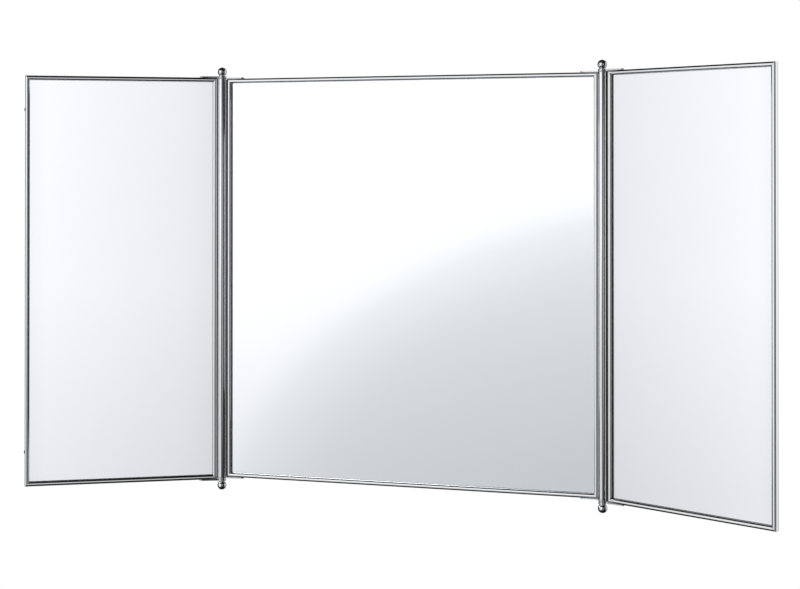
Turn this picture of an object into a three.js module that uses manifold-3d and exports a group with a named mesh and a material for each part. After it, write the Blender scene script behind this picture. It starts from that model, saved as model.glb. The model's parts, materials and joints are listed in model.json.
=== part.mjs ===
// Folding triptych mirror for a wall: a nearly square centre panel and two half-width wings.
// Each panel is a pane of mirror glass in four mitred bars of bright half-round channel.
// The wings turn on tie rods that run through two long tubes, which stand in the gaps.
//
// Frame of the part, millimetres: origin on the wall at the middle of the centre panel's
// back, the mirror looks along -Y, +X is the viewer's right and +Z is up.

import * as THREE from 'three';
import { mergeVertices } from 'three/addons/utils/BufferGeometryUtils.js';
import Module from 'manifold-3d';

const wasm = await Module();
wasm.setup();

// Panels
const wingHeight = 600;
const wingWidth = 282;
const centreWidth = 566;

// Pieces that rest on each other keep this gap
const seat = 0.3;

// Half-round channel of the frames
const railFace = 6.6;
const noseDepth = 2.8;
const frontLip = 0.5;
const rearLip = 1.1;
const rearRound = 3;
const lipChamfer = 0.7;
const channelWall = 2.4;
const mitrePull = 0.2;

// Glass and boards
const glassThickness = 3;
const glassArris = 0.4;
const glassEdgeClearance = 0.6;
const boardThickness = 1.5;
const frameStandoff = 4;
const boardClearance = 1.5;

// Hinges
const tubeRadius = 6;
const tubeWall = 1.5;
const axisToFront = 1;
const axisToSide = 6.6;
const rodRadius = 2.5;
const rodInFinial = 5.5;
const rodEndClearance = 0.5;
const plateThickness = 1.5;
const plateEyeRadius = 6.2;
const plateReach = 29;
const plateTipRadius = 3.8;
const plateFoldGap = 0.5;
const spacerThickness = 1.6;
const spacerRadius = 5.5;

// Ball finials
const ballRadius = 6.7;
const ballHeight = 6.4;
const neckHeight = 1.2;
const collarRadius = 5.4;
const collarHeight = 0.5;

// Countersunk screws of the hinge plates
const plateScrewRadius = 1.3;
const plateScrewHeadRadius = 2.5;
const plateScrewHeadDepth = 1;

// Pan-head screws in the left wing's free stile
const edgeScrewInset = 50;
const edgeScrewRadius = 1.4;
const edgeScrewHeadRadius = 2.9;
const edgeScrewHeadHeight = 1;
const edgeScrewSlotWidth = 0.8;
const edgeScrewSlotDepth = 0.5;

// Keyhole hangers
const hangerFromSide = 83;
const hangerFromTop = 70;
const hangerWidth = 20;
const hangerHeight = 44;
const hangerCorner = 3;
const hangerThickness = 1.2;
const keyholeRadius = 5;
const keyholeSlotWidth = 5;
const keyholeDrop = 10;
const pocketDepth = 3.9;
const pocketMargin = 1.6;
const hangerScrewInset = 5;
const hangerScrewRadius = 1.4;
const hangerScrewHeadRadius = 2.7;
const hangerScrewHeadDepth = 1.1;
const hangerScrewLength = 5;

// How far each wing stands forward of the centre panel's plane, degrees
const leftWingAngle = 32.6;
const rightWingAngle = 28.4;

// Facets round a full turn
const tubeSides = 24;
const screwSides = 16;
const ballSteps = 10;

// Sizes that follow from those above
const grooveFront = noseDepth + frontLip;
const grooveWidth = seat + glassThickness + seat + boardThickness + seat;
const railDepth = grooveFront + grooveWidth + rearLip;
const grooveFloor = railFace - channelWall;
const paneInset = railFace - grooveFloor + glassEdgeClearance;
const glassFront = grooveFront + seat;
const boardFront = glassFront + glassThickness + seat;
const centreFront = -(frameStandoff + railDepth);
const axisX = centreWidth / 2 + axisToSide;
const axisY = centreFront - axisToFront;
const stepAtTop = seat + plateThickness;
const stepAtBottom = seat + plateThickness + seat + spacerThickness;
const centreHeight = wingHeight - stepAtTop - stepAtBottom;
const wingMiddleZ = (stepAtTop - stepAtBottom) / 2;
const plateTipDepth = (grooveFront + boardFront + boardThickness) / 2;
const topWingPlateZ = wingMiddleZ + wingHeight / 2 + seat;
const bottomWingPlateZ = wingMiddleZ - wingHeight / 2 - seat - plateThickness;
const topFinialZ = topWingPlateZ + plateThickness + seat;
const bottomFinialZ = bottomWingPlateZ - seat;

const chrome = new THREE.MeshStandardMaterial({ color: 0xd3d6da, roughness: 0.08, metalness: 1 });
const silvered = new THREE.MeshStandardMaterial({ color: 0xe6eaee, roughness: 0.02, metalness: 1 });
const hardboard = new THREE.MeshStandardMaterial({ color: 0x7d5c40, roughness: 0.85, metalness: 0 });
const zinc = new THREE.MeshStandardMaterial({ color: 0xb4b8bb, roughness: 0.4, metalness: 1 });

const model = new THREE.Group();

// Geometry to solid and back, for the pieces that are drilled, let in or stepped.
function toSolid(geometry) {
  const bare = new THREE.BufferGeometry();
  bare.setAttribute('position', geometry.getAttribute('position'));
  bare.setIndex(geometry.getIndex());
  const merged = mergeVertices(bare, 1e-5);
  const corners = merged.getIndex().array;
  const triangles = [];
  for (let i = 0; i < corners.length; i += 3) {
    const [a, b, c] = [corners[i], corners[i + 1], corners[i + 2]];
    if (a !== b && b !== c && c !== a) triangles.push(a, b, c);
  }
  return new wasm.Manifold(new wasm.Mesh({
    numProp: 3,
    vertProperties: new Float32Array(merged.getAttribute('position').array),
    triVerts: new Uint32Array(triangles),
  }));
}

function fromSolid(solid) {
  const mesh = solid.getMesh();
  const geometry = new THREE.BufferGeometry();
  geometry.setAttribute('position', new THREE.BufferAttribute(mesh.vertProperties, 3));
  geometry.setIndex(new THREE.BufferAttribute(mesh.triVerts, 1));
  geometry.computeVertexNormals();
  return geometry;
}

function cut(geometry, cutters) {
  let solid = toSolid(geometry);
  for (const cutter of cutters) solid = solid.subtract(toSolid(cutter));
  return fromSolid(solid);
}

// A piece turned about Z from its outline in radius and height, listed from the bottom up.
function turned(outline, sides) {
  const points = outline.map(([radius, height]) => new THREE.Vector2(radius, height));
  const geometry = new THREE.LatheGeometry(points, sides);
  geometry.rotateX(Math.PI / 2);
  return geometry;
}

function ring(outerRadius, innerRadius, bottom, top, sides) {
  return turned([
    [innerRadius, bottom],
    [outerRadius, bottom],
    [outerRadius, top],
    [innerRadius, top],
    [innerRadius, bottom],
  ], sides);
}

function rod(radius, bottom, top, sides) {
  return turned([[0, bottom], [radius, bottom], [radius, top], [0, top]], sides);
}

// A countersunk screw with its head's face at z = 0 and its tip below.
function countersunk(radius, headRadius, headDepth, length) {
  return turned([[0, -length], [radius, -length], [radius, -headDepth], [headRadius, 0], [0, 0]], screwSides);
}

// The same form opened out by the seat gap and carried up through the face, to cut its hole.
function countersink(radius, headRadius, headDepth, length) {
  return turned([
    [0, -length],
    [radius + seat, -length],
    [radius + seat, -headDepth],
    [headRadius + seat, 0],
    [headRadius + seat, seat],
    [0, seat],
  ], screwSides);
}

function add(parent, name, geometry, material) {
  const mesh = new THREE.Mesh(geometry, material);
  mesh.name = name;
  parent.add(mesh);
  return mesh;
}

// ---- Frames -------------------------------------------------------------------------------

// Section of the channel: x is the depth behind the front, y the distance out from the
// sight edge. A half-round nose, a straight side, a rounded back edge, and the groove.
function railSection() {
  const section = new THREE.Shape();
  section.moveTo(grooveFront, 0);
  section.lineTo(grooveFront, grooveFloor);
  section.lineTo(grooveFront + grooveWidth, grooveFloor);
  section.lineTo(grooveFront + grooveWidth, 0);
  section.lineTo(railDepth - lipChamfer / 2, 0);
  section.lineTo(railDepth, lipChamfer);
  section.lineTo(railDepth, railFace - rearRound);
  section.absarc(railDepth - rearRound, railFace - rearRound, rearRound, 0, Math.PI / 2, false);
  section.lineTo(noseDepth, railFace);
  section.absellipse(noseDepth, railFace / 2, noseDepth, railFace / 2, Math.PI / 2, 3 * Math.PI / 2, false);
  return section;
}

// A bar of channel along X with both ends mitred: each point of the section ends as far
// short of the corner as it lies inside the panel's outer edge. Z runs outwards.
function mitredRail(length) {
  const bar = new THREE.ExtrudeGeometry(railSection(), { depth: 1, bevelEnabled: false, curveSegments: 8 });
  const points = bar.getAttribute('position');
  for (let i = 0; i < points.count; i += 1) {
    const depth = points.getX(i);
    const height = points.getY(i);
    const end = points.getZ(i) > 0.5 ? 1 : -1;
    points.setXYZ(i, end * (length / 2 - railFace + height - mitrePull), depth, height);
  }
  return bar;
}

// Holes through the channel's outer wall, each for a screw at a place along the bar.
function drilledRail(length, places, depth, screwRadius) {
  const drills = places.map((place) => {
    const drill = rod(screwRadius + seat, grooveFloor - seat, railFace + seat, screwSides);
    drill.translate(place, depth, 0);
    return drill;
  });
  return cut(mitredRail(length), drills);
}

function paneShape(width, height, inset) {
  const shape = new THREE.Shape();
  const x = width / 2 - inset;
  const z = height / 2 - inset;
  shape.moveTo(-x, -z);
  shape.lineTo(x, -z);
  shape.lineTo(x, z);
  shape.lineTo(-x, z);
  return shape;
}

// A flat sheet in X and Z whose front is at the given depth.
function sheet(shape, front, thickness, arris) {
  const geometry = new THREE.ExtrudeGeometry(shape, {
    depth: thickness - 2 * arris,
    bevelEnabled: arris > 0,
    bevelThickness: arris,
    bevelSize: arris,
    bevelOffset: -arris,
    bevelSegments: 1,
    curveSegments: 12,
  });
  geometry.rotateX(Math.PI / 2);
  geometry.translate(0, front + thickness - arris, 0);
  return geometry;
}

// One framed panel, its middle at the group's origin in X and Z and its front at y = 0.
// plateSides are the sides (-1 left, 1 right) that carry hinge plates.
function framedPanel(name, width, height, plateSides, stileScrewSide) {
  const panel = new THREE.Group();
  const plateScrewX = width / 2 + axisToSide - plateReach;
  const screwPlaces = plateSides.map((side) => side * plateScrewX);
  const turnedPlaces = screwPlaces.map((place) => -place);
  const stileScrewZ = height / 2 - edgeScrewInset;
  const sightZ = height / 2 - railFace;
  const sightX = width / 2 - railFace;

  const topBar = drilledRail(width, screwPlaces, plateTipDepth, plateScrewRadius);
  add(panel, `${name}_top_rail`, topBar, chrome).position.z = sightZ;

  const bottomBar = drilledRail(width, turnedPlaces, plateTipDepth, plateScrewRadius);
  const bottomRail = add(panel, `${name}_bottom_rail`, bottomBar, chrome);
  bottomRail.rotation.y = Math.PI;
  bottomRail.position.z = -sightZ;

  for (const side of [-1, 1]) {
    const places = side === stileScrewSide ? [-stileScrewZ, stileScrewZ] : [];
    const bar = drilledRail(height, places, plateTipDepth, edgeScrewRadius);
    const stile = add(panel, `${name}_${side < 0 ? 'left' : 'right'}_stile`, bar, chrome);
    stile.rotation.y = side * Math.PI / 2;
    stile.position.x = side * sightX;
  }

  const pane = sheet(paneShape(width, height, paneInset), glassFront, glassThickness, glassArris);
  add(panel, `${name}_mirror_glass`, pane, silvered);
  return panel;
}

// ---- Centre panel -------------------------------------------------------------------------

const centre = framedPanel('centre', centreWidth, centreHeight, [-1, 1], 0);
centre.position.y = centreFront;
model.add(centre);

const hangerZ = centreHeight / 2 - hangerFromTop;
const hangerScrewZ = hangerHeight / 2 - hangerScrewInset;
const keyholeEntryZ = -keyholeDrop / 2;
const keyholeTopZ = keyholeDrop / 2;
const boardBack = -centreFront;

function roundedRectangle(width, height, corner) {
  const shape = new THREE.Shape();
  const x = width / 2 - corner;
  const z = height / 2 - corner;
  shape.absarc(x, z, corner, 0, Math.PI / 2, false);
  shape.absarc(-x, z, corner, Math.PI / 2, Math.PI, false);
  shape.absarc(-x, -z, corner, Math.PI, 3 * Math.PI / 2, false);
  shape.absarc(x, -z, corner, 3 * Math.PI / 2, 2 * Math.PI, false);
  return shape;
}

// The round entry with the narrow slot above it that a wall screw slides up into.
function keyhole() {
  const half = keyholeSlotWidth / 2;
  const meet = Math.acos(half / keyholeRadius);
  const path = new THREE.Path();
  path.absarc(0, keyholeTopZ, half, 0, Math.PI, false);
  path.absarc(0, keyholeEntryZ, keyholeRadius, Math.PI - meet, 2 * Math.PI + meet, false);
  return path;
}

// The pocket behind the plate that the wall screw's head moves in.
function headPocket() {
  const radius = keyholeRadius + pocketMargin;
  const shape = new THREE.Shape();
  shape.absarc(0, keyholeTopZ, radius, 0, Math.PI, false);
  shape.absarc(0, keyholeEntryZ, radius, Math.PI, 2 * Math.PI, false);
  return shape;
}

// A shape drawn in X and Z, as a cutter or sheet between two depths, moved to its place.
function slab(shape, front, back, x, z) {
  const geometry = new THREE.ExtrudeGeometry(shape, {
    depth: back - front,
    bevelEnabled: false,
    curveSegments: 8,
  });
  geometry.rotateX(Math.PI / 2);
  geometry.translate(x, back, z);
  return geometry;
}

// A screw or its hole, driven into the back of the board.
function drivenFromBack(geometry, x, z) {
  geometry.rotateX(-Math.PI / 2);
  geometry.translate(x, boardBack, z);
  return geometry;
}

const hangerScrewSize = [hangerScrewRadius, hangerScrewHeadRadius, hangerScrewHeadDepth, hangerScrewLength];
const boardCuts = [];

for (const side of [-1, 1]) {
  const name = side < 0 ? 'left_keyhole' : 'right_keyhole';
  const x = side * (centreWidth / 2 - hangerFromSide);
  const plateFront = boardBack - hangerThickness;
  const recess = roundedRectangle(hangerWidth + 2 * seat, hangerHeight + 2 * seat, hangerCorner + seat);
  boardCuts.push(slab(recess, plateFront - seat, boardBack + seat, x, hangerZ));
  boardCuts.push(slab(headPocket(), plateFront - seat - pocketDepth, boardBack, x, hangerZ));

  const plate = roundedRectangle(hangerWidth, hangerHeight, hangerCorner);
  plate.holes.push(keyhole());
  const plateCuts = [];
  for (const [place, end] of [['upper', 1], ['lower', -1]]) {
    const z = hangerZ + end * hangerScrewZ;
    const screw = drivenFromBack(countersunk(...hangerScrewSize), x, z);
    add(centre, `${name}_${place}_screw`, screw, zinc);
    plateCuts.push(drivenFromBack(countersink(...hangerScrewSize), x, z));
    boardCuts.push(drivenFromBack(rod(hangerScrewRadius + seat, -hangerScrewLength - seat, 0, screwSides), x, z));
  }
  const hanger = cut(slab(plate, plateFront, boardBack, x, hangerZ), plateCuts);
  add(centre, `${name}_plate`, hanger, zinc);
}

// The board's thin edge sits in the groove and its thick middle stands back to the wall.
const raisedInset = railFace + boardClearance;
const boardEdge = sheet(paneShape(centreWidth, centreHeight, paneInset), boardFront, boardThickness, 0);
const boardMiddle = sheet(
  paneShape(centreWidth, centreHeight, raisedInset),
  boardFront,
  boardBack - boardFront,
  0,
);
const wholeBoard = fromSolid(toSolid(boardEdge).add(toSolid(boardMiddle)));
add(centre, 'centre_back_board', cut(wholeBoard, boardCuts), hardboard);

// ---- Wings --------------------------------------------------------------------------------

// Each wing hangs in a group whose Z axis is its hinge axis, turned to the angle it stands at.
function wing(name, side, angle) {
  const swing = new THREE.Group();
  swing.position.set(side * axisX, axisY, wingMiddleZ);
  swing.rotation.z = -side * THREE.MathUtils.degToRad(angle);
  const panel = framedPanel(name, wingWidth, wingHeight, [-side], side < 0 ? side : 0);
  panel.position.set(side * (axisToSide + wingWidth / 2), axisToFront, 0);
  const board = sheet(paneShape(wingWidth, wingHeight, paneInset), boardFront, boardThickness, 0);
  add(panel, `${name}_back_board`, board, hardboard);
  swing.add(panel);
  model.add(swing);
  return { swing, panel };
}

const left = wing('left_wing', -1, leftWingAngle);
const right = wing('right_wing', 1, rightWingAngle);

// Slotted pan-head screws through the side of the left wing's free stile.
function panHeadScrew() {
  const radius = edgeScrewHeadRadius;
  const height = edgeScrewHeadHeight;
  const screw = turned([
    [0, seat - channelWall],
    [edgeScrewRadius, seat - channelWall],
    [edgeScrewRadius, seat],
    [radius, seat],
    [radius, seat + height * 0.4],
    [radius * 0.85, seat + height * 0.8],
    [radius * 0.5, seat + height],
    [0, seat + height],
  ], screwSides);
  const slot = new THREE.BoxGeometry(2 * radius + 1, edgeScrewSlotWidth, 2 * edgeScrewSlotDepth);
  slot.translate(0, 0, seat + height);
  return cut(screw, [slot]);
}

for (const [place, end] of [['upper', 1], ['lower', -1]]) {
  const screw = add(left.panel, `left_wing_${place}_edge_screw`, panHeadScrew(), zinc);
  screw.rotation.y = -Math.PI / 2;
  screw.position.set(-wingWidth / 2, plateTipDepth, end * (wingHeight / 2 - edgeScrewInset));
}

// ---- Hinges -------------------------------------------------------------------------------

// A tapered tongue that starts as an eye round the axis and ends on the rail. Its front edge
// meets the eye behind the line where the folded wing's front comes to rest.
// side is the direction in X that the tongue runs, outward the side its screw comes from.
function hingePlate(side, outward) {
  const tipY = axisToFront + plateTipDepth;
  const heading = Math.atan2(tipY, plateReach);
  const lean = Math.acos((plateEyeRadius - plateTipRadius) / Math.hypot(plateReach, tipY));
  const rearTangent = heading + lean;
  const neckY = plateFoldGap - axisToFront;
  const neckAngle = Math.asin(neckY / plateEyeRadius);
  const runX = plateReach - plateEyeRadius * Math.cos(neckAngle);
  const runY = tipY - neckY;
  const frontHeading = Math.atan2(runY, runX) - Math.asin(plateTipRadius / Math.hypot(runX, runY));
  const frontTangent = frontHeading - Math.PI / 2;
  const outline = new THREE.Shape();
  outline.absarc(0, 0, plateEyeRadius, rearTangent, neckAngle + 2 * Math.PI, false);
  outline.absarc(plateReach, tipY, plateTipRadius, frontTangent, rearTangent, false);
  const eye = new THREE.Path();
  eye.absarc(0, 0, rodRadius + seat, 0, 2 * Math.PI, false);
  outline.holes.push(eye);
  const blank = new THREE.ExtrudeGeometry(outline, {
    depth: plateThickness,
    bevelEnabled: false,
    curveSegments: 12,
  });
  if (side < 0) {
    blank.rotateY(Math.PI);
    blank.translate(0, 0, plateThickness);
  }
  const hole = countersink(plateScrewRadius, plateScrewHeadRadius, plateScrewHeadDepth, plateThickness + seat);
  seatScrew(hole, side, outward, 0);
  return cut(blank, [hole]);
}

// Moves a screw, or its hole, from its own axis into a plate that lies at height z.
function seatScrew(geometry, side, outward, z) {
  if (outward < 0) geometry.rotateX(Math.PI);
  const faceZ = outward > 0 ? z + plateThickness : z;
  geometry.translate(side * plateReach, axisToFront + plateTipDepth, faceZ);
  return geometry;
}

function plateScrew(side, outward, z) {
  const length = plateThickness + channelWall;
  const screw = countersunk(plateScrewRadius, plateScrewHeadRadius, plateScrewHeadDepth, length);
  return seatScrew(screw, side, outward, z);
}

// A ball on a short neck with a blind hole for the end of the tie rod, standing on z = 0.
function finial() {
  const boreTop = rodInFinial + rodEndClearance;
  const neckAngle = Math.asin((neckHeight - ballHeight) / ballRadius);
  const outline = [
    [0, boreTop],
    [rodRadius + seat, boreTop],
    [rodRadius + seat, 0],
    [collarRadius, 0],
    [collarRadius, collarHeight],
  ];
  for (let i = 0; i <= ballSteps; i += 1) {
    const angle = neckAngle + (Math.PI / 2 - neckAngle) * i / ballSteps;
    const radius = i < ballSteps ? ballRadius * Math.cos(angle) : 0;
    outline.push([radius, ballHeight + ballRadius * Math.sin(angle)]);
  }
  return turned(outline, tubeSides);
}

function hinge(name, side, wingGroup) {
  const column = new THREE.Group();
  column.position.set(side * axisX, axisY, 0);
  model.add(column);

  const tubeTop = centreHeight / 2;
  add(column, `${name}_tube`, ring(tubeRadius, tubeRadius - tubeWall, -tubeTop, tubeTop, tubeSides), chrome);

  const rodTop = topFinialZ + rodInFinial;
  const rodBottom = bottomFinialZ - rodInFinial;
  add(column, `${name}_tie_rod`, rod(rodRadius, rodBottom, rodTop, tubeSides), zinc);

  add(column, `${name}_top_finial`, finial(), chrome).position.z = topFinialZ;
  const bottomFinial = add(column, `${name}_bottom_finial`, finial(), chrome);
  bottomFinial.rotation.x = Math.PI;
  bottomFinial.position.z = bottomFinialZ;

  const spacerTop = -centreHeight / 2 - seat - plateThickness - seat;
  const spacer = ring(spacerRadius, rodRadius + seat, spacerTop - spacerThickness, spacerTop, tubeSides);
  add(column, `${name}_bottom_spacer`, spacer, chrome);

  const fixedPlates = [
    ['top', 1, centreHeight / 2 + seat],
    ['bottom', -1, -centreHeight / 2 - seat - plateThickness],
  ];
  for (const [place, outward, z] of fixedPlates) {
    add(column, `${name}_${place}_fixed_plate`, hingePlate(-side, outward), chrome).position.z = z;
    add(column, `${name}_${place}_fixed_screw`, plateScrew(-side, outward, z), zinc);
  }
  const wingPlates = [
    ['top', 1, topWingPlateZ - wingMiddleZ],
    ['bottom', -1, bottomWingPlateZ - wingMiddleZ],
  ];
  for (const [place, outward, z] of wingPlates) {
    add(wingGroup, `${name}_${place}_wing_plate`, hingePlate(side, outward), chrome).position.z = z;
    add(wingGroup, `${name}_${place}_wing_screw`, plateScrew(side, outward, z), zinc);
  }
}

hinge('left_hinge', -1, left.swing);
hinge('right_hinge', 1, right.swing);

export default model;
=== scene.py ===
"""Looks of the folding wall mirror: three framed panes joined by two long tube hinges.

The sections follow the mirror as it is put together: view and light, bars, panes, boards,
hangers, felt strips of painted shade and packing, hinge tubes, hinge plates, screws and ball
finials. Lengths are in metres.
"""

import json
import math

import bmesh
import bpy
import numpy as np
from mathutils import Matrix, Vector


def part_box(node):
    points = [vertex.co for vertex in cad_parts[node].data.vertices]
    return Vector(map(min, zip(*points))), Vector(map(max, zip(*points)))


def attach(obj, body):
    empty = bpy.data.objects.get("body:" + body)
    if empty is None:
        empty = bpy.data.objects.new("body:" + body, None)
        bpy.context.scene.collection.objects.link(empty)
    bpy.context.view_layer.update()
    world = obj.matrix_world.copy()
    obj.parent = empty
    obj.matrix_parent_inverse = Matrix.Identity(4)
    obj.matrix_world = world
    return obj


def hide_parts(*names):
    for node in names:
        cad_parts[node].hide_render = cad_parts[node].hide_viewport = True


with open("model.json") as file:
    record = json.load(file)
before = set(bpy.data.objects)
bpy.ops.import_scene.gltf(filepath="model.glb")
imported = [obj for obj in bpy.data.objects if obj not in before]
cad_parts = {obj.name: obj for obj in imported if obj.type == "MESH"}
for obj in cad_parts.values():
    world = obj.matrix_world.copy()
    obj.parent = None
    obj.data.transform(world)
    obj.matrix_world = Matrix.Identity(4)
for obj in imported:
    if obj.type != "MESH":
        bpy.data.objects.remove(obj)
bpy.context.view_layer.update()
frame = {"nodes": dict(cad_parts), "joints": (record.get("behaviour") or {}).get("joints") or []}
scene = bpy.context.scene


# ---- View ---------------------------------------------------------------------------------
# The mirror is seen from its right at a little above its middle, from 2.6 m away through a
# short telephoto lens. The lens is shifted, so uprights stay upright.
wing_height = 0.600
centre_front = -0.0138
wing_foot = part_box("left_wing_left_stile")[0].z
view_yaw = math.radians(19.03)
view_pitch = math.radians(0.45)
view_right = 1.4142 * wing_height
view_back = 4.1420 * wing_height
view_up = 0.7615 * wing_height
focal_pixels = 1818.4
image_width = 800
shift_pixels = -135.6

camera_data = bpy.data.cameras.new("view")
camera = bpy.data.objects.new("view", camera_data)
scene.collection.objects.link(camera)
camera.location = (view_right, centre_front - view_back, wing_foot + view_up)
camera.rotation_euler = (math.pi / 2 + view_pitch, 0, view_yaw)
camera_data.sensor_width = 36
camera_data.lens = focal_pixels / image_width * camera_data.sensor_width
camera_data.shift_y = shift_pixels / image_width
camera_data.clip_end = 100
scene.camera = camera
scene.view_settings.view_transform = "Standard"


# ---- Studio -------------------------------------------------------------------------------
# A white room. What the chrome and the glass see of it is a broad pale wall in front that
# greys towards the floor, narrow openings at the sides and a paler patch behind. The dark
# stretches between them draw the bright lines on the bars and tubes.
class Sums:
    """Arithmetic nodes of one node tree, chained by calls."""

    def __init__(self, tree):
        self.tree = tree

    def node(self, kind, **settings):
        made = self.tree.nodes.new(kind)
        for key, value in settings.items():
            setattr(made, key, value)
        return made

    def link(self, value, socket):
        if isinstance(value, bpy.types.NodeSocket):
            self.tree.links.new(value, socket)
        else:
            socket.default_value = value

    def math(self, operation, *values):
        made = self.node("ShaderNodeMath", operation=operation)
        for value, socket in zip(values, made.inputs):
            self.link(value, socket)
        return made.outputs[0]

    def ramp(self, value, stops, interpolation="LINEAR"):
        """A colour ramp from (place, colour) pairs; a plain number stands for a grey."""
        made = self.node("ShaderNodeValToRGB")
        band = made.color_ramp
        band.interpolation = interpolation
        while len(band.elements) < len(stops):
            band.elements.new(1.0)
        for element, (place, colour) in zip(band.elements, stops):
            element.position = place
            rgb = (colour,) * 3 if isinstance(colour, (int, float)) else colour
            element.color = (*rgb, 1)
        self.link(value, made.inputs[0])
        return made.outputs[0]

    def mix(self, factor, first, second, blend="MIX"):
        made = self.node("ShaderNodeMix", data_type="RGBA", blend_type=blend)
        for value, socket in zip((factor, first, second), (made.inputs[0], *made.inputs[6:8])):
            self.link(value, socket)
        return made.outputs[2]

    def texture(self, kind, vector, scale, detail=2.0, **settings):
        made = self.node(kind, **settings)
        self.link(vector, made.inputs["Vector"])
        made.inputs["Scale"].default_value = scale
        if "Detail" in made.inputs:
            made.inputs["Detail"].default_value = detail
        return made


full_turn = 360
half_turn = 180
quarter_turn = 90


def turn_share(degrees):
    """Where an azimuth lies on a ramp that runs once round the room."""
    return (degrees + half_turn) / full_turn


def rise_share(degrees):
    """Where an elevation lies on a ramp that runs from the floor to the ceiling."""
    return (degrees + quarter_turn) / half_turn


# Tones by azimuth, from straight behind round by the left, the front and the right.
room_round = [
    (-180, 0.60), (-166, 0.50), (-158, 0.05), (-80, 0.04), (-72.5, 0.40), (-70.5, 0.86),
    (-63.8, 1.08), (-61.5, 0.25), (-56, 0.25), (-50, 1.15), (0, 1.15), (5, 0.10), (32.5, 0.08),
    (34, 1.09), (40.6, 0.90), (42.5, 0.15), (48, 0.04), (98, 0.05), (104, 1.0), (130, 1.0),
    (136, 0.05), (158, 0.05), (166, 0.50), (180, 0.60),
]
# Tones by elevation, from the floor to the ceiling.
room_rise = [
    (-90, 0.03), (-44, 0.04), (-36, 0.25), (-28, 0.75), (-9.8, 0.835), (-3.4, 0.98), (3, 1.0),
    (24, 1.0), (32, 0.40), (42, 0.06), (90, 0.03),
]
# The opening on the right is low: its share by azimuth, and its own tones by elevation.
opening_round = [(28, 0.0), (33, 1.0), (42, 1.0), (46, 0.0)]
opening_rise = [
    (-90, 0.03), (-18, 0.08), (-10.5, 0.80), (-9.8, 0.835), (-3.4, 0.98), (3, 1.0), (6, 1.0),
    (11, 0.20), (24, 0.05), (90, 0.03),
]
# The front wall greys towards a corner, given as azimuth and elevation, in a long oval.
grey_corner = (-8.0, -12.0)
grey_squash = 1.5
grey_reach = 24.0
grey_tones = [
    (0.25, (0.615, 0.645, 0.664)), (0.48, (0.686, 0.70, 0.70)), (0.59, (0.715, 0.72, 0.72)),
    (0.685, (0.835, 0.85, 0.855)), (0.73, (0.97, 0.97, 0.97)), (0.83, (1.0, 1.0, 1.0)),
]
soft_level = 0.62

world = bpy.data.worlds.new("studio")
world.use_nodes = True
scene.world = world
room = Sums(world.node_tree)
world.node_tree.nodes.clear()
direction = room.node("ShaderNodeSeparateXYZ")
room.link(room.node("ShaderNodeTexCoord").outputs["Generated"], direction.inputs[0])
azimuth = room.math(
    "DEGREES",
    room.math("ARCTAN2", direction.outputs[0], room.math("MULTIPLY", direction.outputs[1], -1.0)),
)
elevation = room.math("DEGREES", room.math("ARCSINE", direction.outputs[2]))
around = room.math("DIVIDE", room.math("ADD", azimuth, half_turn), full_turn)
upward = room.math("DIVIDE", room.math("ADD", elevation, quarter_turn), half_turn)
round_tone = room.ramp(around, [(turn_share(place), tone) for place, tone in room_round])
rise_tone = room.mix(
    room.ramp(around, [(turn_share(place), share) for place, share in opening_round]),
    room.ramp(upward, [(rise_share(place), tone) for place, tone in room_rise]),
    room.ramp(upward, [(rise_share(place), tone) for place, tone in opening_rise]),
)
corner_x = room.math("SUBTRACT", azimuth, grey_corner[0])
corner_z = room.math("MULTIPLY", room.math("SUBTRACT", elevation, grey_corner[1]), grey_squash)
corner_far = room.math(
    "SQRT", room.math("ADD", room.math("POWER", corner_x, 2.0), room.math("POWER", corner_z, 2.0))
)
corner_tone = room.ramp(room.math("DIVIDE", corner_far, grey_reach), grey_tones, "B_SPLINE")
wall_tone = room.mix(1.0, round_tone, rise_tone, "MULTIPLY")
wall_tone = room.mix(1.0, wall_tone, corner_tone, "MULTIPLY")
light_path = room.node("ShaderNodeLightPath")
mirrored = room.math(
    "MAXIMUM", light_path.outputs["Is Glossy Ray"], light_path.outputs["Is Transmission Ray"]
)
lit = room.mix(mirrored, (soft_level,) * 3 + (1,), wall_tone)
seen = room.mix(light_path.outputs["Is Camera Ray"], lit, (1, 1, 1, 1))
background = room.node("ShaderNodeBackground")
room.link(seen, background.inputs["Color"])
room.link(background.outputs[0], room.node("ShaderNodeOutputWorld").inputs["Surface"])

lamp_size = 1.8


def soft_lamp(name, place, power):
    """A square lamp that faces the mirror's middle and leaves no spot on the chrome."""
    lamp_data = bpy.data.lights.new(name, "AREA")
    lamp_data.shape = "SQUARE"
    lamp_data.size = lamp_size
    lamp_data.energy = power
    lamp = bpy.data.objects.new(name, lamp_data)
    lamp.location = place
    lamp.rotation_euler = (-Vector(place)).to_track_quat("-Z", "Y").to_euler()
    lamp.visible_glossy = False
    scene.collection.objects.link(lamp)


soft_lamp("key", (-1.6, -2.4, 2.0), 55)
soft_lamp("back_fill", (1.8, 2.4, 1.6), 35)

# The floor is white to the camera and pale to other light, and the chrome doesn't show it.
floor_drop = 1.35
floor_reach = 3.0
floor_mesh = bpy.data.meshes.new("floor")
floor_mesh.from_pydata(
    [(-floor_reach, -floor_reach, -floor_drop), (floor_reach, -floor_reach, -floor_drop),
     (floor_reach, floor_reach, -floor_drop), (-floor_reach, floor_reach, -floor_drop)],
    [], [(0, 1, 2, 3)],
)
floor = bpy.data.objects.new("floor", floor_mesh)
scene.collection.objects.link(floor)
floor.visible_glossy = False
floor_paint = bpy.data.materials.new("floor_paint")
floor_paint.use_nodes = True
floor_tree = Sums(floor_paint.node_tree)
floor_paint.node_tree.nodes.clear()
floor_path = floor_tree.node("ShaderNodeLightPath")
floor_pale = floor_tree.node("ShaderNodeBsdfDiffuse")
floor_pale.inputs["Color"].default_value = (0.8, 0.8, 0.8, 1)
floor_white = floor_tree.node("ShaderNodeEmission")
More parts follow.
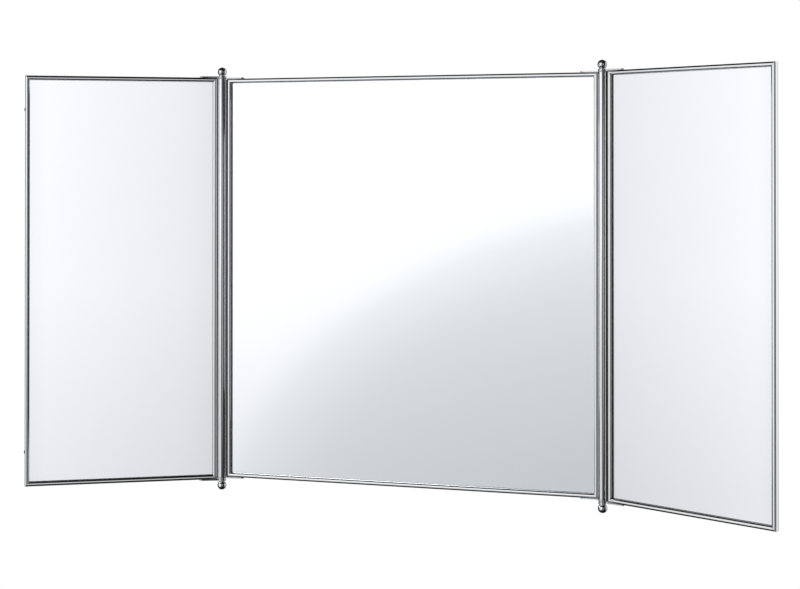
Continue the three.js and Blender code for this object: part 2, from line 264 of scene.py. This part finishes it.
floor_pick = floor_tree.node("ShaderNodeMixShader")
floor_tree.link(floor_path.outputs["Is Camera Ray"], floor_pick.inputs[0])
floor_tree.link(floor_pale.outputs[0], floor_pick.inputs[1])
floor_tree.link(floor_white.outputs[0], floor_pick.inputs[2])
floor_tree.link(floor_pick.outputs[0], floor_tree.node("ShaderNodeOutputMaterial").inputs[0])
floor_mesh.materials.append(floor_paint)


# ---- Bars of the frames -------------------------------------------------------------------
# Twelve bars of half-round brass channel, polished and chrome plated, mitred and soldered at
# the corners. The nose faces the viewer; the groove behind it holds the pane and its board.
wing_width = 0.282
rail_face = 0.0066
nose_depth = 0.0028
front_lip = 0.0005
rear_lip = 0.0011
rear_round = 0.003
channel_wall = 0.0024
groove_width = 0.0054
lip_round = 0.0003
mitre_pull = 0.0001
groove_front = nose_depth + front_lip
rail_depth = groove_front + groove_width + rear_lip


def metal_finish(name, colour, roughness, haze, wave, wave_scale, pit_size):
    """Bright metal: smooth plating with faint waviness, a haze that comes and goes, and a
    sprinkling of pinhead pits. wave and pit_size are in metres, wave_scale in swells a metre."""
    made = bpy.data.materials.new(name)
    made.use_nodes = True
    sums = Sums(made.node_tree)
    shader = made.node_tree.nodes["Principled BSDF"]
    shader.inputs["Metallic"].default_value = 1.0
    where = sums.node("ShaderNodeTexCoord").outputs["Object"]
    cloud = sums.texture("ShaderNodeTexNoise", where, 38.0, 4.0).outputs[0]
    fine = sums.texture("ShaderNodeTexNoise", where, 900.0, 3.0).outputs[0]
    cells = sums.texture("ShaderNodeTexVoronoi", where, 1.0 / pit_size)
    pits = sums.ramp(cells.outputs["Distance"], [(0.005, 1.0), (0.009, 0.0)])
    rub = sums.math("ADD", sums.math("MULTIPLY", cloud, haze), sums.math("MULTIPLY", fine, haze / 2))
    sums.link(sums.math("ADD", sums.math("ADD", rub, roughness), sums.math("MULTIPLY", pits, 0.3)),
              shader.inputs["Roughness"])
    dull = tuple(0.8 * c for c in colour)
    tone = sums.mix(sums.math("MULTIPLY", cloud, 0.35), (*colour, 1), (*dull, 1))
    sums.link(sums.mix(pits, tone, (*(0.35 * c for c in colour), 1)), shader.inputs["Base Color"])
    swell = sums.texture("ShaderNodeTexNoise", where, wave_scale, 1.0).outputs[0]
    bump = sums.node("ShaderNodeBump")
    bump.inputs["Strength"].default_value = 1.0
    bump.inputs["Distance"].default_value = wave
    sums.link(swell, bump.inputs["Height"])
    sums.link(bump.outputs[0], shader.inputs["Normal"])
    return made


bar_chrome = metal_finish(
    "bar_chrome", (0.87, 0.88, 0.90), roughness=0.025, haze=0.03,
    wave=0.00010, wave_scale=9.0, pit_size=0.022,
)


def surface(name, grid, closed_round, closed_along, material, body, stands_for=(), caps=False):
    """A piece from a grid of points, rows by columns by three, joined as quads.

    The columns run round each row and close when closed_round is set; the rows close into a
    ring when closed_along is set. Caps fill the first and last rows with one face each.
    """
    rows, columns = grid.shape[:2]
    index = np.arange(rows * columns).reshape(rows, columns)
    if closed_round:
        index = np.concatenate([index, index[:, :1]], 1)
    if closed_along:
        index = np.concatenate([index, index[:1]], 0)
    quads = np.stack([index[:-1, :-1], index[:-1, 1:], index[1:, 1:], index[1:, :-1]], -1)
    faces = quads.reshape(-1, 4).tolist()
    if caps:
        faces.append(list(range(columns))[::-1])
        faces.append(list(range((rows - 1) * columns, rows * columns)))
    return piece(name, grid.reshape(-1, 3), faces, material, body, stands_for)


def piece(name, points, faces, material, body, stands_for=()):
    """A mesh object from points and faces, with doubles merged, faces outwards and smooth
    shading that breaks at sharp edges; it rides on its body and stands for CAD nodes."""
    mesh = bpy.data.meshes.new(name)
    mesh.from_pydata(np.asarray(points).tolist(), [], faces)
    tidy_mesh(mesh)
    mesh.materials.append(material)
    made = bpy.data.objects.new(name, mesh)
    scene.collection.objects.link(made)
    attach(made, body)
    if stands_for:
        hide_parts(*stands_for)
    return made


def tidy_mesh(mesh, merge=1e-6, sharp=math.radians(32)):
    """Merges doubles, turns the faces outwards and marks the sharp edges."""
    work = bmesh.new()
    work.from_mesh(mesh)
    bmesh.ops.remove_doubles(work, verts=work.verts, dist=merge)
    bmesh.ops.dissolve_degenerate(work, edges=work.edges, dist=merge / 10)
    bmesh.ops.recalc_face_normals(work, faces=work.faces)
    work.to_mesh(mesh)
    work.free()
    mesh.polygons.foreach_set("use_smooth", [True] * len(mesh.polygons))
    mesh.set_sharp_from_angle(angle=sharp)


def arc(centre, radii, start, end, steps):
    """Points on an ellipse's arc between two angles in degrees, as an array of pairs."""
    angle = np.radians(np.linspace(start, end, steps))
    return np.stack([centre[0] + radii[0] * np.cos(angle), centre[1] + radii[1] * np.sin(angle)], -1)


def bar_section():
    """The channel's section as pairs of depth behind the front and distance out from the
    sight edge: half-ellipse nose, straight side, rounded back, lip and groove."""
    floor_out = rail_face - channel_wall
    back = groove_front + groove_width
    r = lip_round
    return np.concatenate([
        arc((nose_depth, rail_face / 2), (nose_depth, rail_face / 2), 90, 270, 49),
        arc((groove_front - r, r), (r, r), 270, 360, 5),
        [(groove_front, floor_out), (back, floor_out)],
        arc((back + r, r), (r, r), 180, 270, 5),
        arc((rail_depth - r, r), (r, r), 270, 360, 5),
        arc((rail_depth - rear_round, rail_face - rear_round), (rear_round, rear_round), 0, 90, 15),
    ])


def bar_grid(length):
    """Two rows of the section, one at each mitred end: a point ends as far short of the corner
    as it lies inside the panel's outer edge. x runs along the bar, z outwards."""
    section = bar_section()
    half = length / 2 - rail_face + section[:, 1] - mitre_pull
    rows = [np.stack([side * half, section[:, 0], section[:, 1]], -1) for side in (-1, 1)]
    return np.stack(rows)


axis_to_side = 0.0066
axis_to_front = 0.001


def wing_angle(joint):
    """How far a wing stands from in line with the centre, signed about z, in radians."""
    return -math.radians(joint["range_deg"][0]) * joint["axis"][2]


def panel_places():
    """Where each panel's own axes lie: x right, y behind its front, z up from its middle."""
    places = {"centre": Matrix.Translation((0, centre_front, 0))}
    for joint in frame["joints"]:
        side = 1 if joint["pos_m"][0] > 0 else -1
        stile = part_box(f"{joint['child']}_left_stile")
        middle = (stile[0].z + stile[1].z) / 2
        places[joint["child"]] = (
            Matrix.Translation((*joint["pos_m"][:2], middle))
            @ Matrix.Rotation(wing_angle(joint), 4, "Z")
            @ Matrix.Translation((side * (axis_to_side + wing_width / 2), axis_to_front, 0))
        )
    return places


def moved(points, matrix):
    """The points of any array whose last axis is x, y, z, carried by a 4 by 4 matrix."""
    turn = np.array(matrix)
    return np.asarray(points) @ turn[:3, :3].T + turn[:3, 3]


places = panel_places()
centre_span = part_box("centre_top_rail")
centre_pull = 0.0002
centre_width = centre_span[1].x - centre_span[0].x + 2 * centre_pull
centre_height = 2 * centre_span[1].z
panel_sizes = {
    "centre": (centre_width, centre_height, "centre_panel"),
    "left_wing": (wing_width, wing_height, "left_wing"),
    "right_wing": (wing_width, wing_height, "right_wing"),
}
for panel, (width, height, body) in panel_sizes.items():
    for bar, quarter, length, reach in (
        ("top_rail", 0, width, height),
        ("right_stile", 1, height, width),
        ("bottom_rail", 2, width, height),
        ("left_stile", 3, height, width),
    ):
        turn = Matrix.Rotation(quarter * math.pi / 2, 4, "Y")
        out = Matrix.Translation((0, 0, reach / 2 - rail_face))
        grid = moved(bar_grid(length), places[panel] @ turn @ out)
        node = f"{panel}_{bar}"
        surface(f"{node}_bar", grid, True, False, bar_chrome, body, [node], caps=True)


# ---- Panes --------------------------------------------------------------------------------
# Three millimetre float glass with ground edges, let into the groove, and bright silver on its
# back. The bar's own reflection therefore lies well behind it, as in a real mirror.
edge_play = 0.0006
front_play = 0.0003
glass_thickness = 0.003
pane_inset = channel_wall + edge_play
glass_front = groove_front + front_play
glass_back = glass_front + glass_thickness
glass_arris = 0.0004
silver_depth = 0.0001


def silver_finish():
    """Near-perfect silver, faintly cool, with a haze that comes and goes over a hand's width."""
    made = bpy.data.materials.new("silver")
    made.use_nodes = True
    sums = Sums(made.node_tree)
    shader = made.node_tree.nodes["Principled BSDF"]
    shader.inputs["Metallic"].default_value = 1.0
    where = sums.node("ShaderNodeTexCoord").outputs["Object"]
    haze = sums.texture("ShaderNodeTexNoise", where, 7.0, 3.0).outputs[0]
    sums.link(sums.ramp(haze, [(0.35, 0.0), (0.8, 0.010)]), shader.inputs["Roughness"])
    sums.link(sums.ramp(haze, [(0.3, (0.915, 0.930, 0.962)), (0.8, (0.906, 0.922, 0.956))]),
              shader.inputs["Base Color"])
    return made


def glass_finish():
    """Clear float glass."""
    made = bpy.data.materials.new("float_glass")
    made.use_nodes = True
    shader = made.node_tree.nodes["Principled BSDF"]
    shader.inputs["Base Color"].default_value = (1, 1, 1, 1)
    shader.inputs["Roughness"].default_value = 0.0
    shader.inputs["IOR"].default_value = 1.5
    shader.inputs["Transmission Weight"].default_value = 1.0
    return made


def sheet_grid(width, height, levels):
    """Rings of four corners, one for each pair of depth and inset from the sheet's edge."""
    rows = []
    for depth, inset in levels:
        x, z = width / 2 - inset, height / 2 - inset
        rows.append([(-x, depth, -z), (x, depth, -z), (x, depth, z), (-x, depth, z)])
    return np.array(rows)


silver = silver_finish()
glass = glass_finish()
for panel, (width, height, body) in panel_sizes.items():
    node = f"{panel}_mirror_glass"
    ground = pane_inset + glass_arris
    glass_levels = [(glass_front, ground), (glass_front + glass_arris, pane_inset),
                    (glass_back - glass_arris, pane_inset), (glass_back, ground)]
    silver_levels = [(glass_back - silver_depth, ground), (glass_back + silver_depth, ground)]
    for name, levels, finish in (
        ("sheet", glass_levels, glass),
        ("silvering", silver_levels, silver),
    ):
        grid = moved(sheet_grid(width, height, levels), places[panel])
        surface(f"{node}_{name}", grid, True, False, finish, body, [node], caps=True)


# ---- Back boards --------------------------------------------------------------------------
# Tempered hardboard, dark brown and smooth outside, pressed in behind the panes. The centre
# board has a raised middle that lies on the wall and carries the hangers.
def hardboard_finish():
    """Fine matted fibres in two browns under a dull oiled face."""
    made = bpy.data.materials.new("hardboard")
    made.use_nodes = True
    sums = Sums(made.node_tree)
    shader = made.node_tree.nodes["Principled BSDF"]
    where = sums.node("ShaderNodeTexCoord").outputs["Object"]
    patch = sums.texture("ShaderNodeTexNoise", where, 14.0, 5.0).outputs[0]
    fibre = sums.texture("ShaderNodeTexNoise", where, 700.0, 8.0)
    fibre.inputs["Distortion"].default_value = 1.5
    grain = sums.math(
        "ADD", sums.math("MULTIPLY", patch, 0.5), sums.math("MULTIPLY", fibre.outputs[0], 0.5)
    )
    tone = sums.ramp(grain, [(0.30, (0.16, 0.085, 0.045)), (0.50, (0.25, 0.145, 0.08)),
                             (0.70, (0.36, 0.22, 0.125))])
    sums.link(tone, shader.inputs["Base Color"])
    sums.link(sums.ramp(grain, [(0.3, 0.48), (0.7, 0.72)]), shader.inputs["Roughness"])
    bump = sums.node("ShaderNodeBump")
    bump.inputs["Strength"].default_value = 0.5
    bump.inputs["Distance"].default_value = 0.00025
    sums.link(fibre.outputs[0], bump.inputs["Height"])
    sums.link(bump.outputs[0], shader.inputs["Normal"])
    return made


def repaint(node, material):
    """Gives a CAD node, whose shape is right, its finish."""
    slots = frame["nodes"][node].data.materials
    slots.clear()
    slots.append(material)


hardboard = hardboard_finish()
for panel in panel_sizes:
    repaint(f"{panel}_back_board", hardboard)


# ---- Keyhole hangers ----------------------------------------------------------------------
# Two stamped zinc-plated plates let in flush with the board, 400 mm apart, over pockets for
# the heads of the wall screws.
zinc = metal_finish(
    "zinc_plate", (0.66, 0.68, 0.70), roughness=0.26, haze=0.16,
    wave=0.00010, wave_scale=60.0, pit_size=0.006,
)
for side in ("left", "right"):
    repaint(f"{side}_keyhole_plate", zinc)


# ---- Painted shade: felt strips, and packing ----------------------------------------------
# Thin strips of black felt are glued to each bar beside a hinge tube. They are painted shade:
# they fill the gap to the tube with black where the gap shows only shade, and they clear the
# tube in every pose. A packing of the same felt lies between each pane and the bars' front lips
# and darkens the line where the glass meets them.
packing_air = 0.00002
packing_edge = 0.0001
packing_set_back = 0.00015
lip_thickness = 0.0005
lip_front = 0.0002
lip_back = 0.0068
lip_end = 0.001


def felt_finish():
    """Black felt: short tangled fibres, matt, with a faint sheen."""
    made = bpy.data.materials.new("painted_shade_felt")
    made.use_nodes = True
    sums = Sums(made.node_tree)
    shader = made.node_tree.nodes["Principled BSDF"]
    where = sums.node("ShaderNodeTexCoord").outputs["Object"]
    fibre = sums.texture("ShaderNodeTexNoise", where, 2600.0, 6.0).outputs[0]
    sums.link(sums.ramp(fibre, [(0.3, (0.010, 0.009, 0.009)), (0.7, (0.035, 0.031, 0.030))]),
              shader.inputs["Base Color"])
    shader.inputs["Roughness"].default_value = 0.92
    shader.inputs["Sheen Weight"].default_value = 0.15
    shader.inputs["Sheen Roughness"].default_value = 0.5
    bump = sums.node("ShaderNodeBump")
    bump.inputs["Strength"].default_value = 0.6
    bump.inputs["Distance"].default_value = 0.00015
    sums.link(fibre, bump.inputs["Height"])
    sums.link(bump.outputs[0], shader.inputs["Normal"])
    return made


# This black felt serves as painted shade in the gaps beside the hinge tubes.
felt = felt_finish()
for panel, (width, height, body) in panel_sizes.items():
    front, back = groove_front + packing_air, glass_front - packing_air
    outer, inner = pane_inset + packing_edge, rail_face - packing_set_back
    levels = [(front, inner), (front, outer), (back, outer), (back, inner)]
    grid = moved(sheet_grid(width, height, levels), places[panel])
    surface(f"{panel}_packing", grid, True, True, felt, body)

# Painted shade: a black felt strip fills the gap beside each hinge tube, where there is only shade.
for panel, sides in (("centre", (-1, 1)), ("left_wing", (1,)), ("right_wing", (-1,))):
    width, height, body = panel_sizes[panel]
    for side in sides:
        inner = side * width / 2
        outer = inner + side * lip_thickness
        outline = [(inner, lip_back), (inner, lip_front), (outer, lip_front), (outer, lip_back)]
        reach = height / 2 - lip_end
        rows = [[(x, depth, end * reach) for x, depth in outline] for end in (-1, 1)]
        name = f"{panel}_{'left' if side < 0 else 'right'}_edging"
        surface(name, moved(rows, places[panel]), True, False, felt, body, caps=True)


# ---- Hinge tubes, tie rods and spacers ----------------------------------------------------
# Each hinge is a long chrome tube that stands in the gap between two frames. A steel tie rod
# runs through it, and a short spacer takes up the play between the lower plates.
tube_bore = 0.0045
tube_edge = 0.0004
rod_hole = 0.0028
spacer_edge = 0.0003
hinge_chrome = metal_finish(
    "hinge_chrome", (0.85, 0.86, 0.88), roughness=0.03, haze=0.03,
    wave=0.00010, wave_scale=11.0, pit_size=0.022,
)
rod_steel = metal_finish(
    "rod_steel", (0.58, 0.59, 0.60), roughness=0.24, haze=0.12,
    wave=0.00008, wave_scale=80.0, pit_size=0.006,
)


def turned_grid(outline, sides):
    """A surface of revolution about z: rows follow the outline's pairs of radius and height,
    columns go once round."""
    angle = np.linspace(0, 2 * math.pi, sides, endpoint=False)
    outline = np.asarray(outline, float)
    radius, height = outline[:, :1], outline[:, 1:]
    shape = (len(outline), sides)
    return np.stack([radius * np.cos(angle), radius * np.sin(angle), np.broadcast_to(height, shape)], -1)


def ring_outline(outer, inner, bottom, top, edge):
    """A ring's section with rounded outer edges, closed on itself."""
    low = arc((outer - edge, bottom + edge), (edge, edge), 270, 360, 6)
    high = arc((outer - edge, top - edge), (edge, edge), 0, 90, 6)
    return np.concatenate([[(inner, bottom)], low, high, [(inner, top)]])


for joint in frame["joints"]:
    side = "left" if joint["child"].startswith("left") else "right"
    axis = Matrix.Translation((*joint["pos_m"][:2], 0))
    for node, inner, edge, sides in (
        (f"{side}_hinge_tube", tube_bore, tube_edge, 96),
        (f"{side}_hinge_bottom_spacer", rod_hole, spacer_edge, 72),
    ):
        low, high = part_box(node)
        outer = (high.x - low.x) / 2
        grid = moved(turned_grid(ring_outline(outer, inner, low.z, high.z, edge), sides), axis)
        surface(f"{node}_turned", grid, True, True, hinge_chrome, "centre_panel", [node])
    repaint(f"{side}_hinge_tie_rod", rod_steel)


# ---- Hinge plates -------------------------------------------------------------------------
# Stamped tongues, chrome plated: an eye round the tie rod and a taper to a rounded end on the
# bar's outer side, where one countersunk screw holds it. A step lets the folded wing pass.
screw_line = 0.00585
plate_reach = 0.029
plate_tip_back = axis_to_front + screw_line
plate_eye = 0.0062
plate_tip = 0.0038
plate_edge = 0.0003
plate_step = -0.0005


def tongue_radius(angle, shrink):
    """Distance from the eye's centre to the edge at each angle from x: round the eye, along
    the front from its step, round the tip and back along the rear, all drawn in by shrink."""
    eye, tip = plate_eye - shrink, plate_tip - shrink
    far = math.hypot(plate_reach, plate_tip_back)
    heading = math.atan2(plate_tip_back, plate_reach)
    rear = heading + math.acos((eye - tip) / far)
    step = plate_step + shrink
    run = complex(plate_reach - math.sqrt(eye**2 - step**2), plate_tip_back - step)
    front = math.atan2(run.imag, run.real) - math.asin(tip / abs(run)) - math.pi / 2
    middle = complex(plate_reach, plate_tip_back)
    tip_front = middle + tip * complex(math.cos(front), math.sin(front))
    tip_rear = middle + tip * complex(math.cos(rear), math.sin(rear))
    turns = [math.asin(step / eye)]
    turns += [math.atan2(corner.imag, corner.real) for corner in (tip_front, tip_rear)]
    front_far = tip_front.real * math.cos(front) + tip_front.imag * math.sin(front)
    off = far * np.sin(angle - heading)
    bend = far * np.cos(angle - heading) + np.sqrt(np.maximum(tip**2 - off**2, 0))
    edge = np.where(angle < turns[0], eye, front_far / np.cos(angle - front))
    edge = np.where(angle < turns[1], edge, bend)
    edge = np.where(angle < turns[2], edge, eye / np.cos(angle - rear))
    return np.where(angle < rear, edge, eye)


def tongue_grid(side, low, high):
    """Rings from the bore out over the top, round the edge and back underneath, closing on
    themselves; each ring goes once round the eye, closer together along the tongue."""
    even = np.linspace(-math.pi, math.pi, 120, endpoint=False)
    close = np.linspace(-0.10, 0.40, 160)
    angle = np.unique(np.concatenate([even, close]))
    corner = arc((0, 0), (plate_edge, plate_edge), 90, -90, 9)
    rings = [(np.full_like(angle, rod_hole), high)]
    for out, up in corner:
        level = high - plate_edge + up if up >= 0 else low + plate_edge + up
        rings.append((tongue_radius(angle, plate_edge - out), level))
    rings.append((np.full_like(angle, rod_hole), low))
    rows = [np.stack([side * r * np.cos(angle), r * np.sin(angle), np.full_like(angle, z)], -1)
            for r, z in rings]
    return np.stack(rows)


# ---- Screws -------------------------------------------------------------------------------
# Small slotted nickel-plated screws: raised countersunk in the hinge plates and hangers, and
# pan heads through the side of the left wing's free bar.
edge_screw_inset = 0.050
nickel = metal_finish(
    "nickel_plate", (0.72, 0.71, 0.69), roughness=0.12, haze=0.12,
    wave=0.00005, wave_scale=150.0, pit_size=0.004,
)


def slotted_screw(head, dome, seat_depth, shank, length, slot_width, slot_depth):
    """Points and faces of a screw on the z axis with its face at z = 0 and its tip below.

    The head is a sheet of columns across the slot, doubled at the slot's walls, domed by a
    cosine, over a cone and a shank that share its rim."""
    w = slot_width / 2
    outside = head * np.sin(np.linspace(math.asin(w / head), math.pi / 2, 12))
    across = np.concatenate([-outside[::-1], [-w, w], outside])
    sunk = np.zeros(len(across), bool)
    sunk[len(outside):len(outside) + 2] = True
    along = np.sin(np.linspace(-math.pi / 2, math.pi / 2, 21))
    x = np.repeat(across[:, None], len(along), 1)
    y = np.sqrt(np.maximum(head**2 - across**2, 0))[:, None] * along[None, :]
    far = np.sqrt(x**2 + y**2) / head
    top = dome * np.cos(far * math.pi / 2)
    top = np.where(sunk[:, None], dome - slot_depth, top)
    low = np.full_like(x, -seat_depth)
    shrink = shank / head
    upper = np.stack([x, y, top], -1)
    lower = np.stack([x * shrink, y * shrink, low], -1)
    tip = np.stack([x * shrink, y * shrink, np.full_like(x, -length)], -1)
    rows, columns = x.shape
    index = np.arange(rows * columns).reshape(rows, columns)
    sheet = np.stack([index[:-1, :-1], index[:-1, 1:], index[1:, 1:], index[1:, :-1]], -1).reshape(-1, 4)
    rim_index = np.concatenate([index[:-1, 0], index[-1, :-1], index[:0:-1, -1], index[0, :0:-1]])
    count = rows * columns
    faces = sheet.tolist() + (sheet[:, ::-1] + 2 * count).tolist()
    for level in range(2):
        a = rim_index + level * count
        b = np.roll(rim_index, -1) + level * count
        faces += np.stack([a, b, b + count, a + count], -1).tolist()
    points = np.concatenate([layer.reshape(-1, 3) for layer in (upper, lower, tip)])
    return points, faces


def facing(point, outward, twist=0.0):
    """A matrix that stands a screw's z axis along outward at a point, with its slot turned."""
    turn = Vector(outward).to_track_quat("Z", "Y").to_matrix().to_4x4()
    return Matrix.Translation(point) @ turn @ Matrix.Rotation(twist, 4, "Z")


for joint in frame["joints"]:
    side = "left" if joint["child"].startswith("left") else "right"
    sign = -1 if side == "left" else 1
    fixed = Matrix.Translation((*joint["pos_m"][:2], 0))
    swung = fixed @ Matrix.Rotation(wing_angle(joint), 4, "Z")
    for place, outward in (("top", 1), ("bottom", -1)):
        for owner, body, direction_x, matrix in (
            ("fixed", "centre_panel", -sign, fixed),
            ("wing", f"{side}_wing", sign, swung),
        ):
            node = f"{side}_hinge_{place}_{owner}_plate"
            low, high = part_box(node)
            grid = moved(tongue_grid(direction_x, low.z, high.z), matrix)
            surface(f"{node}_stamped", grid, True, True, hinge_chrome, body, [node])
            screw = f"{side}_hinge_{place}_{owner}_screw"
            face = high.z if outward > 0 else low.z
            seat = Vector((direction_x * plate_reach, plate_tip_back, face))
            points, faces = slotted_screw(
                head=0.0025, dome=0.0004, seat_depth=0.0010, shank=0.0013, length=0.0039,
                slot_width=0.0007, slot_depth=0.0006,
            )
            # The length of its name gives each slot another angle.
            twist = 0.7 * len(screw) + outward
            stand = matrix @ facing(seat, (0, 0, outward), twist)
            piece(f"{screw}_turned", moved(points, stand), faces, nickel, body, [screw])

for side in ("left", "right"):
    for place, twist in (("upper", 0.5), ("lower", 1.3)):
        screw = f"{side}_keyhole_{place}_screw"
        low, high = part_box(screw)
        seat = ((low.x + high.x) / 2, high.y, (low.z + high.z) / 2)
        points, faces = slotted_screw(
            head=0.0027, dome=0.0, seat_depth=0.0011, shank=0.0014, length=0.0050,
            slot_width=0.0007, slot_depth=0.0005,
        )
        points = moved(points, facing(seat, (0, 1, 0), twist))
        piece(f"{screw}_turned", points, faces, zinc, "centre_panel", [screw])

for place, end, twist in (("upper", 1, 0.2), ("lower", -1, 1.9)):
    screw = f"left_wing_{place}_edge_screw"
    seat = (-wing_width / 2, screw_line, end * (wing_height / 2 - edge_screw_inset))
    stand = places["left_wing"] @ facing(seat, (-1, 0, 0), twist)
    points, faces = slotted_screw(
        head=0.0029, dome=0.0013, seat_depth=0.0002, shank=0.0014, length=0.0021,
        slot_width=0.0008, slot_depth=0.0007,
    )
    points = moved(points, stand)
    piece(f"{screw}_turned", points, faces, nickel, "left_wing", [screw])


# ---- Ball finials -------------------------------------------------------------------------
# Turned brass balls on short necks, chrome plated, screwed on the ends of the tie rods.
ball_radius = 0.0067
ball_up = 0.0064
neck_up = 0.0012
collar = 0.0054
collar_up = 0.0005
collar_edge = 0.0002
bore_depth = 0.0060


def finial_outline():
    """Radius and height from the bore's end, down the bore, over the collar, in to the neck
    and round the ball to its top."""
    neck = math.degrees(math.asin((neck_up - ball_up) / ball_radius))
    ball = arc((0, ball_up), (ball_radius, ball_radius), neck, 90, 48)
    lip_middle = (collar - collar_edge, collar_up - collar_edge)
    lip = arc(lip_middle, (collar_edge, collar_edge), 0, 90, 5)
    bore = [(0, bore_depth), (rod_hole, bore_depth), (rod_hole, 0), (collar, 0)]
    return np.concatenate([bore, lip, ball])


for joint in frame["joints"]:
    side = "left" if joint["child"].startswith("left") else "right"
    for place, outward in (("top", 1), ("bottom", -1)):
        node = f"{side}_hinge_{place}_finial"
        low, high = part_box(node)
        base = low.z if outward > 0 else high.z
        stand = Matrix.Translation((*joint["pos_m"][:2], base))
        if outward < 0:
            stand = stand @ Matrix.Rotation(math.pi, 4, "X")
        grid = moved(turned_grid(finial_outline(), 72), stand)
        name = f"{node}_turned"
        surface(name, grid, True, False, hinge_chrome, "centre_panel", [node])
